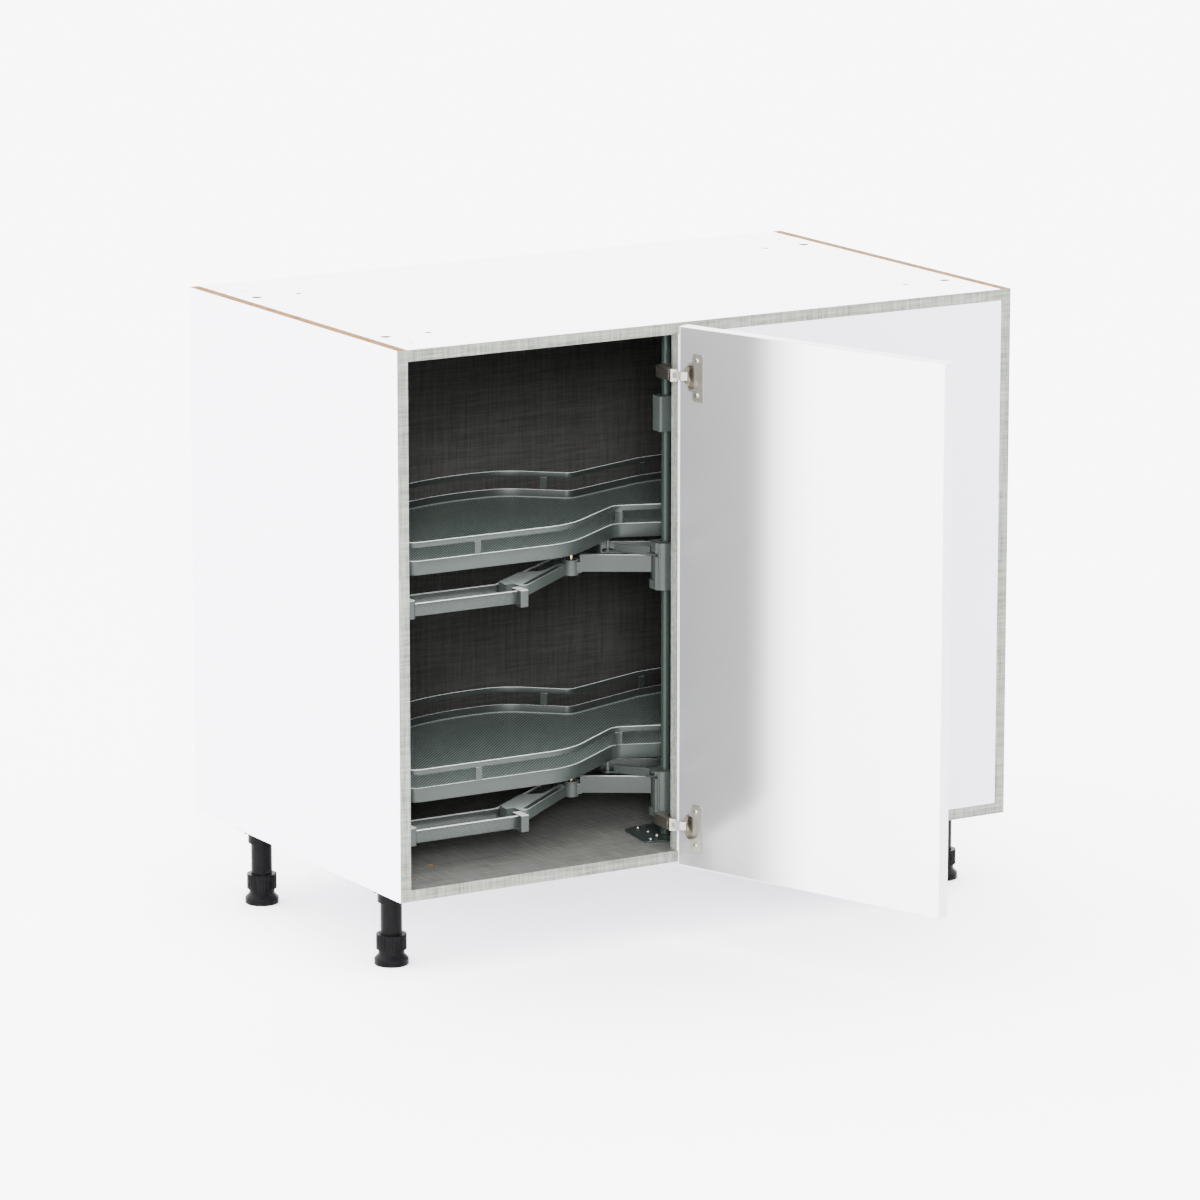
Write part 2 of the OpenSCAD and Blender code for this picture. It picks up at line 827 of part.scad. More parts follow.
module board_screws() {
  color("silver") placed() {
    leg_screw_places() translate([0, 0, -socket_plate_t]) screw(6.5, board_t);
    translate([0, 0, z_floor + post_plate_t])
      plate_screw_places() mirror([0, 0, 1]) screw(7, board_t - 3);
    translate([0, 0, z_ceil - post_plate_t]) plate_screw_places() screw(7, board_t - 3);
    plate_hole_places() translate([0, plate_h, 0]) rotate([90, 0, 0]) screw(7, board_t - 3);
  }
}

// Legs
module at_legs() {
  for (p = leg_spots) translate([p[0], p[1], 0]) children();
}

module leg_socket() {
  difference() {
    union() {
      translate([0, 0, z_under - socket_plate_t])
        linear_extrude(socket_plate_t)
          polygon(rounded([[-32, -27, 8], [32, -27, 8], [32, 27, 8], [-32, 27, 8]]));
      translate([0, 0, z_under - socket_h]) cylinder(d = socket_d, h = socket_h - socket_plate_t);
      for (a = [0:90:270])
        rotate([0, 0, a])
          translate([socket_d / 2 - 1, -1.5, z_under - socket_plate_t - 5]) cube([8, 3, 5]);
    }
    translate([0, 0, z_under - socket_h - cut])
      cylinder(d = leg_d + 2 * fit, h = socket_h - socket_plate_t + cut + fit);
    for (sx = [-1, 1], sy = [-1, 1])
      translate([
        sx * leg_screw_spread[0] / 2,
        sy * leg_screw_spread[1] / 2,
        z_under - socket_plate_t - cut
      ])
        cylinder(d = 3.6, h = socket_plate_t + 2 * cut);
  }
}

module leg_sockets() {
  color("black") placed() at_legs() leg_socket();
}

module leg_tubes() {
  color("black") placed() at_legs()
    difference() {
      translate([0, 0, tube_z]) cylinder(d = leg_d, h = z_under - socket_plate_t - tube_z);
      translate([0, 0, tube_z - cut])
        cylinder(d = leg_bore, h = z_under - socket_plate_t - tube_z - 4 + cut);
    }
}

// Levelling foot with its knurled collar and the spindle that runs up inside the tube
module foot(i) {
  color("black") placed() translate([leg_spots[i][0], leg_spots[i][1], 0]) {
    difference() {
      union() {
        rotate_extrude()
          polygon([
            [0, 0], [pad_d / 2 - 1, 0], [pad_d / 2, 1], [pad_d / 2, 9], [pad_d / 2 - 2, 11],
            [collar_d / 2 - 3, pad_h], [collar_d / 2 - 3, collar_z], [0, collar_z]
          ]);
        translate([0, 0, collar_z]) cylinder(d = collar_d - 1.4, h = collar_h);
        for (k = [0:collar_ribs - 1])
          rotate([0, 0, k * 360 / collar_ribs])
            translate([collar_d / 2 - 2, -1, collar_z]) cube([2, 2, collar_h]);
      }
      translate([0, 0, foot_floor]) cylinder(d = leg_d + 2 * slip, h = collar_z + collar_h);
    }
    translate([0, 0, foot_floor]) cylinder(d = spindle_d, h = spindle_top - foot_floor);
  }
}

// Post with its plates, clip, hubs and pins
module post() {
  color("darkslategray") placed()
    translate([post_at[0], post_at[1], z_floor + post_plate_t])
      difference() {
        cylinder(d = post_d, h = z_ceil - z_floor - 2 * post_plate_t);
        translate([0, 0, -cut]) cylinder(d = post_d - 3, h = z_ceil - z_floor + cut);
      }
}

module post_plate() {
  difference() {
    linear_extrude(post_plate_t)
      polygon(rounded([[-37, -36, 8], [-2, -45, 7], [37, 50, 9], [-26, 42, 9]]));
    translate([0, 0, -cut]) for (p = plate_screw_spots)
      translate([p[0], p[1], 0]) cylinder(d = 3.6, h = post_plate_t + 2 * cut);
  }
}

module post_base_plate() {
  color("slategray") placed()
    translate([arm_pivot[0], arm_pivot[1], z_floor]) post_plate();
}

module post_top_plate() {
  color("slategray") placed()
    translate([arm_pivot[0], arm_pivot[1], z_ceil - post_plate_t]) post_plate();
}

module post_clip() {
  color("darkgray") placed()
    translate([post_at[0], post_at[1], z_top - clip_drop])
      difference() {
        linear_extrude(clip_h)
          polygon(rounded([[-17, -12, 4], [15, -12, 3], [15, 11, 3], [-17, 11, 4]]));
        translate([0, 0, -cut]) cylinder(d = post_d + 2 * fit, h = clip_h + 2 * cut);
      }
}

function hub_bottom(i) = z_under + hub_z + i * hub_pitch;
function arm_top(i) = z_under + tray_z + i * tray_pitch - arm_drop;

module hub_plan() {
  hull() {
    for (p = hub_corners) translate(p) circle(r = hub_corner_r, $fn = 32);
    circle(r = ear_r, $fn = 32);
    translate(link_pivot - arm_pivot) circle(r = link_ear_r, $fn = 32);
  }
  for (p = hub_ribs) translate(p) circle(r = rib_r, $fn = 20);
}

// Moulded hub: two ears carry the arm's pin, and the body behind them grips the post.
// The control link turns in a slot above the arm.
module hub_block(i) {
  gap_z = hub_bottom(i) + ear_b;
  gap_top = arm_top(i) + ear_gap;
  link_floor = arm_top(i) + link_rise - link_seat;
  color("gray") placed()
    translate([arm_pivot[0], arm_pivot[1], 0])
      difference() {
        slab(hub_bottom(i), hub_bottom(i) + hub_h) hub_plan();
        translate([window_x[0], window_y, gap_z])
          cube([window_x[1] - window_x[0], 60, gap_top - gap_z]);
        translate([window_x[0], slot_y, link_floor])
          cube([window_x[1] - window_x[0], 40, gap_top - link_floor]);
        slab(gap_z, gap_top) circle(d = barrel_d + 1);
        translate([post_at[0] - arm_pivot[0], post_at[1] - arm_pivot[1], hub_bottom(i) - cut])
          cylinder(d = post_d + 2 * fit, h = hub_h + 2 * cut);
        slab(hub_bottom(i) + pin_cap, hub_bottom(i) + hub_h - pin_cap) circle(d = pivot_d + fit);
        translate([link_pivot[0] - arm_pivot[0], link_pivot[1] - arm_pivot[1], 0])
          slab(link_floor - link_pin_sink, gap_top + link_pin_cap) circle(d = stud_d + fit);
      }
}

module hub_pins() {
  color("goldenrod") placed()
    for (i = [0, 1]) {
      translate([arm_pivot[0], arm_pivot[1], 0])
        slab(hub_bottom(i) + pin_cap, hub_bottom(i) + hub_h - pin_cap) circle(d = pivot_d);
      translate([link_pivot[0], link_pivot[1], 0])
        slab(
          arm_top(i) + link_rise - link_seat - link_pin_sink,
          arm_top(i) + ear_gap + link_pin_cap
        )
          circle(d = stud_d);
    }
}

// Arm: a barrel on the hub pin, a flat bar, and a neck with an eye inside the tray's cup
module swing_arm(i) {
  eye_z = arm_top(i) - eye_drop;
  color("slategray") placed()
    translate([arm_pivot[0], arm_pivot[1], 0])
      rotate([0, 0, arm_dir])
        difference() {
          union() {
            translate([0, 0, hub_bottom(i) + ear_b + 0.3])
              cylinder(d = barrel_d, h = arm_top(i) + 0.4 - hub_bottom(i) - ear_b - 0.3);
            translate([0, -arm_t / 2, arm_top(i) - arm_h])
              cube([arm_l - pivot_cup_d / 2 - arm_gap, arm_t, arm_h]);
            translate([arm_l - neck_l, -arm_t / 2, eye_z]) cube([neck_l, arm_t, neck_h]);
            translate([arm_l, 0, eye_z]) cylinder(d = barrel_d, h = neck_h);
          }
          translate([0, 0, hub_bottom(i)]) cylinder(d = pivot_d + 2 * fit, h = hub_h);
          translate([arm_l, 0, eye_z - cut]) cylinder(d = pivot_d + 2 * fit, h = neck_h + 2 * cut);
        }
}

// Control link: an upright bar between two flat eyes
module control_link(i) {
  color("dimgray") placed()
    translate([link_pivot[0], link_pivot[1], arm_top(i) + link_rise])
      rotate([0, 0, link_dir])
        difference() {
          union() {
            cylinder(r = link_eye_r, h = link_t);
            translate([0, -link_w / 2, 0]) cube([link_flat[0], link_w, link_t]);
            translate([bar_from, -link_t / 2, 0])
              cube([link_l - bar_from - bar_to, link_t, link_bar_h]);
            translate([link_l - link_flat[1], -link_w / 2, 0])
              cube([link_flat[1], link_w, link_t]);
            translate([link_l, 0, 0]) cylinder(r = stud_eye_r, h = link_t);
          }
          translate([0, 0, -cut]) cylinder(d = stud_d + 2 * fit, h = link_t + 2 * cut);
          translate([link_l, 0, -cut]) cylinder(r = link_hole_r, h = link_t + 2 * cut);
        }
}

// Moulded channel: the pivot cup at one end and the plate that meets both rails
module channel_body() {
  slot_u = [16, bend_u - 2];
  difference() {
    linear_extrude(channel_h)
      polygon(rounded([
        [0, wall_v(0), 0], [channel_l - 12, wall_far, 10], [channel_l, wall_far - 6, 3],
        [channel_l - 2, -25, 4], [bend_u - 4, plate_v, 2], [78, plate_v, 4], [60, -17, 10],
        [-3, -17, 6]
      ]));
    translate([0, 0, channel_h - slot_depth])
      linear_extrude(slot_depth + cut)
        polygon(rounded([
          [slot_u[0], slot_v(slot_u[0]) - slot_w, 2], [slot_u[0], slot_v(slot_u[0]), 2],
          [slot_u[1], slot_v(slot_u[1]), 3], [slot_u[1], slot_v(slot_u[1]) - slot_w, 3]
        ]));
    translate([0, 0, -cut])
      linear_extrude(channel_h - roof_t + cut)
        polygon(rounded([[74, -20, 3], [138, -17, 3], [138, -37, 3], [83, -37, 3]]));
  }
}

module pivot_channel(i) {
  window = 33;
  middle = arm_dir - 180 - arm_swing * tray_turn / 2;
  color("darkgray") on_tray(i)
    difference() {
      union() {
        slab(-cup_drop - cup_h, -cup_drop) circle(d = pivot_cup_d);
        translate([0, 0, -channel_drop - channel_h]) rotate([0, 0, channel_dir]) channel_body();
      }
      translate([socket_x, rail_y - 30, -channel_drop - channel_h - cut])
        cube([socket_w, 60, channel_h + 2 * cut]);
      translate([0, 0, -cup_drop - cup_h]) {
        translate([0, 0, pivot_floor]) cylinder(d = pivot_cup_bore, h = cup_h);
        translate([0, 0, pivot_floor + 0.1])
          rotate([0, 0, middle - window])
            rotate_extrude(angle = 2 * window) translate([1, 0]) square([pivot_cup_d, neck_h + 2]);
        translate([0, 0, -cut]) cylinder(d = pivot_d + fit, h = pivot_floor + 2 * cut);
      }
    }
}

module pivot_pin(i) {
  color("goldenrod") on_tray(i)
    translate([0, 0, -cup_drop - cup_h]) cylinder(d = pivot_d, h = cup_drop + cup_h);
}

// Block at the channel's end that holds the front rail
module rail_socket(i) {
  color("silver") on_tray(i)
    translate([socket_x, rail_y, 0])
      difference() {
        translate([0, 0, -bar_drop - 22])
          linear_extrude(24)
            polygon(rounded([[0, -12, 2], [socket_w, -12, 2], [socket_w, 14, 2], [0, 14, 2]]));
        translate([-cut, -bar_t / 2 - fit, -bar_drop - bar_h - fit])
          cube([socket_grip + cut, bar_t + 2 * fit, bar_h + 2 * fit]);
      }
}

module carrier_rails(i) {
  color("lightgray") on_tray(i)
    translate([0, 0, -bar_drop - bar_h]) {
      translate([rail_start[0], rail_y - bar_t / 2, 0])
        cube([socket_x + socket_grip - fit - rail_start[0], bar_t, bar_h]);
      linear_extrude(bar_h) polygon(strip(rear_path, bar_t));
    }
}

// End clamp at the left, with a pocket for each rail
module rail_clamp(i) {
  color("silver") on_tray(i)
    difference() {
      translate([0, 0, -bar_drop - 20.3])
        linear_extrude(26)
          polygon(rounded([
            [rail_start[0] - 4, rail_y - clamp_side, 4],
            [rail_start[0] + clamp_w - 4, rail_y - clamp_side, 4],
            [rail_start[0] + clamp_w - 4, rear_bend[1] + clamp_side, 4],
            [rail_start[0] - 4, rear_bend[1] + clamp_side, 4]
          ]));
      for (y = [rail_y, rear_bend[1]])
        translate([rail_start[0] - fit, y - bar_t / 2 - fit, -bar_drop - bar_h - fit])
          cube([40, bar_t + 2 * fit, bar_h + 2 * fit]);
    }
}

// Pillars between the rear rail and the tray board, and the stud of the control link
module tray_supports(i) {
  color("gray") on_tray(i) {
    for (p = [[rail_start[0] + 22, rear_bend[1], 0], [290, 32.2, -29.7]])
      translate([p[0], p[1], 0])
        difference() {
          translate([0, 0, -bar_drop - 10]) cylinder(d = 13, h = bar_drop + 10);
          translate([0, 0, -bar_drop - 10 - cut])
            rotate([0, 0, p[2]]) translate([-10, -bar_t / 2 - fit, 0]) cube([20, bar_t + 2 * fit, 10 + cut]);
        }
    translate([stud_off[0], stud_off[1], -arm_drop + link_rise - 1])
      cylinder(d = stud_d, h = arm_drop - link_rise + 1);
  }
}

// Tray: board, mat, lower band, posts and top rail
module tray_floor(i) {
  color("gray") on_tray(i) linear_extrude(floor_t) polygon(inset(tray_outline, rim_t));
}

module tray_mat(i) {
  color("gray") on_tray(i)
    translate([0, 0, floor_t]) linear_extrude(mat_t) polygon(inset(tray_outline, rim_t + 0.5));
}

module rim_strip(h) {
  linear_extrude(h)
    difference() {
      polygon(tray_outline);
      polygon(inset(tray_outline, rim_t));
    }
}

module tray_band(i) {
  color("silver") on_tray(i) rim_strip(band_h);
}

module tray_rail(i) {
  color("silver") on_tray(i) translate([0, 0, band_h + window_h]) rim_strip(rail_h);
}

module tray_posts(i) {
  color("silver") on_tray(i)
    translate([0, 0, band_h])
      intersection() {
        rim_strip(window_h);
        for (p = rim_spots)
          translate([p[0], p[1], 0]) rotate([0, 0, p[2]])
            translate([-rim_post_w / 2, -14, 0]) cube([rim_post_w, 28, window_h]);
      }
}

left_side_panel();
right_side_panel();
top_panel();
bottom_panel();
back_panel();
blind_panel();
front_edge_bands();
cam_locks();
cam_bolts();
dowels();
door_panel();
door_edge_band();
hinge_cups();
hinge_cup_screws();
hinge_arms();
hinge_link(0);  // lower_hinge_link
hinge_link(1);  // upper_hinge_link
hinge_plates();
board_screws();
leg_sockets();
leg_tubes();
foot(0);  // front_left_foot
foot(1);  // front_right_foot
foot(2);  // rear_left_foot
foot(3);  // rear_right_foot
post();
post_base_plate();
post_top_plate();
post_clip();
hub_pins();
hub_block(0);  // lower_hub_block
hub_block(1);  // upper_hub_block
swing_arm(0);  // lower_swing_arm
swing_arm(1);  // upper_swing_arm
control_link(0);  // lower_control_link
control_link(1);  // upper_control_link
pivot_channel(0);  // lower_pivot_channel
pivot_channel(1);  // upper_pivot_channel
pivot_pin(0);  // lower_pivot_pin
pivot_pin(1);  // upper_pivot_pin
rail_socket(0);  // lower_rail_socket
rail_socket(1);  // upper_rail_socket
carrier_rails(0);  // lower_carrier_rails
carrier_rails(1);  // upper_carrier_rails
rail_clamp(0);  // lower_rail_clamp
rail_clamp(1);  // upper_rail_clamp
tray_supports(0);  // lower_tray_supports
tray_supports(1);  // upper_tray_supports
tray_floor(0);  // lower_tray_floor
tray_floor(1);  // upper_tray_floor
tray_mat(0);  // lower_tray_mat
tray_mat(1);  // upper_tray_mat
tray_band(0);  // lower_tray_band
tray_band(1);  // upper_tray_band
tray_posts(0);  // lower_tray_posts
tray_posts(1);  // upper_tray_posts
tray_rail(0);  // lower_tray_rail
tray_rail(1);  // upper_tray_rail
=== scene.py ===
"""Blind corner base cabinet: finishes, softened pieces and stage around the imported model."""

import json
import math

import bmesh
import bpy
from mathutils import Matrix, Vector

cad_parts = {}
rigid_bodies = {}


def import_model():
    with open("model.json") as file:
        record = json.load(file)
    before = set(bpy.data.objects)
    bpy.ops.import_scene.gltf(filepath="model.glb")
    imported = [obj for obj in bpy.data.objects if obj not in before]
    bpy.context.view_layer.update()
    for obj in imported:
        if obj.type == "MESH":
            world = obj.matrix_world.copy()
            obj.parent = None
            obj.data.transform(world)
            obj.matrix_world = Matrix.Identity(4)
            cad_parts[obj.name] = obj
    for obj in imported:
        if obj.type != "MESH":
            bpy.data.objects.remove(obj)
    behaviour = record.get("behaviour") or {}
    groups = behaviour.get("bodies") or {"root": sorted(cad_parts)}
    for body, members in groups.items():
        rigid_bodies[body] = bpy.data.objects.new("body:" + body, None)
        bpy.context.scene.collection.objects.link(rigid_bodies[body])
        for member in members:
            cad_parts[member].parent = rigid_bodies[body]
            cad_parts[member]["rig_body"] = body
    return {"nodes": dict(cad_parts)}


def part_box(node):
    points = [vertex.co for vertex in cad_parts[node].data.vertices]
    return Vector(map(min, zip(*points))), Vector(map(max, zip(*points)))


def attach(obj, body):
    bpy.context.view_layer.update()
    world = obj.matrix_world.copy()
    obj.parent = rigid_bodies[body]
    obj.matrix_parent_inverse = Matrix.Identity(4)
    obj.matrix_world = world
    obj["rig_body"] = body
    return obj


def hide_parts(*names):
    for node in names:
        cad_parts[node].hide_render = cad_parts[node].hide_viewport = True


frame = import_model()

bl_info = {
    "name": "Blind corner base cabinet",
    "version": (1, 0, 0),
    "blender": (4, 5, 0),
    "location": "View3D > Sidebar > Cabinet",
    "description": "Dresses the blind corner base cabinet with its finishes and fine pieces",
    "category": "Object",
}

MM = 0.001
# Depth within which a point still counts as on a board's face
SKIN = 0.3 * MM
# Distance within which corners are joined
WELD = 0.01 * MM
# Turns between two faces: below the first they are joined, from the second they are shaded
# apart, past the third their edge is rounded
FLAT_TURN = math.radians(0.6)
CREASE_TURN = math.radians(21)
SHARP_TURN = math.radians(28)
# Span that holds most values of a noise pattern
NOISE_LOW, NOISE_HIGH = 0.3, 0.7
# Sockets of the mix node for a type of data: first input, second input, result
MIX_SOCKETS = {"RGBA": (6, 7, 2), "FLOAT": (2, 3, 0)}

TRAYS = ("lower", "upper")
FEET = ("front_left_foot", "front_right_foot", "rear_left_foot", "rear_right_foot")


def body_of_node(node):
    """Name of the CAD body that carries a node."""
    return frame["nodes"][node]["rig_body"]


# Properties


def colour(label, note, value):
    return bpy.props.FloatVectorProperty(
        name=label, description=note, subtype="COLOR", size=3, min=0, max=1, default=value
    )


def length(label, note, value):
    return bpy.props.FloatProperty(
        name=label, description=note, unit="LENGTH", min=WELD, default=value
    )


def angle(label, note, degrees):
    return bpy.props.FloatProperty(
        name=label, description=note, unit="ROTATION", default=math.radians(degrees)
    )


def strength(label, note, value):
    return bpy.props.FloatProperty(name=label, description=note, min=0, default=value)


class CabinetColours(bpy.types.PropertyGroup):
    """Colours of the cabinet's finishes."""

    white_foil: colour("White foil", "Outer faces of the boards", (0.8, 0.795, 0.88))
    # Painted shade: the fixed panel's front is the boards' white foil made darker
    blind_shaded_white: colour("Blind white", "Front face of the fixed panel", (0.52, 0.52, 0.575))
    door_white: colour("Door white", "Gloss faces of the door", (0.74, 0.74, 0.79))
    # Painted shade: the door's inner face darkens towards the hinges
    door_shade: colour("Door shade", "Door's inner face at the hinges", (0.12, 0.12, 0.123))
    # Painted shade: the door's edge band is a darker copy of the door white, for the shade line
    # along its edges
    door_rim_shaded: colour("Door rim", "Edge band of the door", (0.52, 0.52, 0.555))
    linen_pale: colour("Edge linen, pale", "Pale threads of the edges", (0.17, 0.18, 0.157))
    linen_grey: colour("Edge linen, grey", "Grey threads of the edges", (0.068, 0.073, 0.062))
    # Painted shade: the cabinet's floor uses the edges' linen made about half as bright
    shaded_floor_pale: colour("Floor linen, pale", "Pale threads of the floor", (0.086, 0.087, 0.082))
    shaded_floor_grey: colour("Floor linen, grey", "Grey threads of the floor", (0.05, 0.0508, 0.0472))
    # Painted shade: the inner walls use the same linen made much darker
    shaded_inner_pale: colour("Dark linen, pale", "Pale threads inside", (0.0278, 0.0276, 0.0262))
    shaded_inner_dark: colour("Dark linen, dark", "Dark threads inside", (0.0163, 0.0162, 0.0154))
    chip_pale: colour("Chipboard, pale", "Pale flakes of the raw edges", (0.17, 0.082, 0.018))
    chip_dark: colour("Chipboard, dark", "Dark flakes of the raw edges", (0.056, 0.0235, 0.0048))
    tray_paint: colour("Tray paint", "Bands, rails, posts and arms", (0.0232, 0.0287, 0.0262))
    # Painted highlight: the light colour laid on the upward faces of the rims, rails and arms
    painted_top_highlight: colour("Bright tops", "Tops of the rims, rails and arms", (0.62, 0.65, 0.635))
    # Painted highlight: the lighter colour laid on the upward faces of the channels and pillars
    painted_channel_highlight: colour("Channel tops", "Tops of channels and pillars", (0.2, 0.225, 0.213))
    rail_metal: colour("Rail metal", "Rails, sockets and clamps", (0.0245, 0.0288, 0.027))
    moulded_grey: colour("Moulded grey", "Hubs, clip and channels", (0.028, 0.034, 0.0312))
    post_paint: colour("Post paint", "The post", (0.015, 0.022, 0.0192))
    plate_paint: colour("Plate paint", "Plates at the post's ends", (0.016, 0.0215, 0.019))
    mat_grey: colour("Mat", "Ground of the tray mats", (0.026, 0.0345, 0.031))
    mat_dot: colour("Mat dots", "Raised dots of the tray mats", (0.155, 0.187, 0.172))
    mat_lip: colour("Mat lip", "Raised edge of the tray mats", (0.1, 0.12, 0.11))
    nickel: colour("Nickel", "Hinges", (0.29, 0.272, 0.236))
    zinc: colour("Zinc", "Screws and the hubs' pins", (0.42, 0.42, 0.4))
    cam_metal: colour("Cam metal", "Cam locks and their bolts", (0.3, 0.235, 0.17))
    brass: colour("Brass", "Pivot pins", (0.45, 0.38, 0.2))
    beech: colour("Beech", "Dowels", (0.4, 0.25, 0.13))
    black_plastic: colour("Black plastic", "Legs and feet", (0.0022, 0.0022, 0.0024))


class CabinetSizes(bpy.types.PropertyGroup):
    """Sizes of the fine detail."""

    door_turn: angle("Door turn", "Angle between the drawn door and the front", 71)
    thread: length("Thread pitch", "Between the threads of the linen look", 1.6 * MM)
    slub: length("Slub pitch", "Between the thick threads", 5 * MM)
    flake: length("Flake size", "Of the chipboard's flakes", 4.2 * MM)
    # Width of the painted shade band on the door's inner face
    door_shade: length("Door shade", "Width of the shade on the door's inner face", 185 * MM)
    dot_pitch: length("Dot pitch", "Between the dots of the mat", 4.4 * MM)
    lip_width: length("Lip width", "Of the mat's raised edge", 2.2 * MM)
    lip_height: length("Lip height", "Of the mat's raised edge", 1.6 * MM)
    fixing_edge: length("Fixing edge", "Rounding of the cams' and screws' edges", 0.2 * MM)
    plated_edge: length("Plated edge", "Rounding of the hinges' and pins' edges", 0.3 * MM)
    leg_edge: length("Leg edge", "Rounding of the legs' and feet's edges", 0.4 * MM)
    metal_edge: length("Metal edge", "Rounding of the painted metal's edges", 0.5 * MM)
    plastic_edge: length("Plastic edge", "Rounding of the moulded pieces' edges", 0.9 * MM)
    rim_edge: length("Rim edge", "Rounding of the rim strips' edges", 0.9 * MM)
    rail_edge: length("Rail edge", "Rounding of the carrier rails' edges", 1.4 * MM)


class CabinetStage(bpy.types.PropertyGroup):
    """Camera, lights and floor."""

    azimuth: angle("Azimuth", "Direction of view, from straight ahead", 30.84)
    elevation: angle("Elevation", "Height of the view above level", 12.28)
    distance: length("Distance", "From the camera to its target", 8.854)
    focal: bpy.props.FloatProperty(
        name="Focal length", description="Of the camera's lens", unit="CAMERA", default=193.73
    )
    target: bpy.props.FloatVectorProperty(
        name="Target", description="Point in the middle of the view", subtype="XYZ",
        unit="LENGTH", size=3, default=(-0.1799, -0.0785, 0.5012),
    )
    sky_front: strength("Front light", "Brightness of the surround in front", 0.8)
    sky_left: strength("Left light", "Brightness of the surround at the left", 9.0)
    sky_back: strength("Back light", "Brightness of the surround behind the cabinet", 8.0)
    sky_top: strength("Top light", "Brightness of the surround overhead", 9.5)
    lamp: strength("Far lamp", "Strength of the far lamp that shines into the opening", 5.5)
    lamp_azimuth: angle("Lamp azimuth", "Direction of the far lamp's light", 29)
    lamp_elevation: angle("Lamp elevation", "Height of the far lamp above level", 17)
    lamp_spread: angle("Lamp spread", "Angle that the far lamp fills in the sky", 12)
    paper_dim: colour("Paper, dim", "Dimmer patches of the floor", (0.955, 0.955, 0.96))
    paper_bright: colour("Paper, bright", "Brighter patches of the floor", (0.97, 0.97, 0.975))
    paper_reach: length("Paper reach", "From the floor's middle to its edges", 30)


def colours():
    return bpy.context.scene.cabinet_colours


def sizes():
    return bpy.context.scene.cabinet_sizes


# Finishes


def toned(tint, factor):
    """A colour times a factor, kept within white."""
    return [min(1, part * factor) for part in tint]


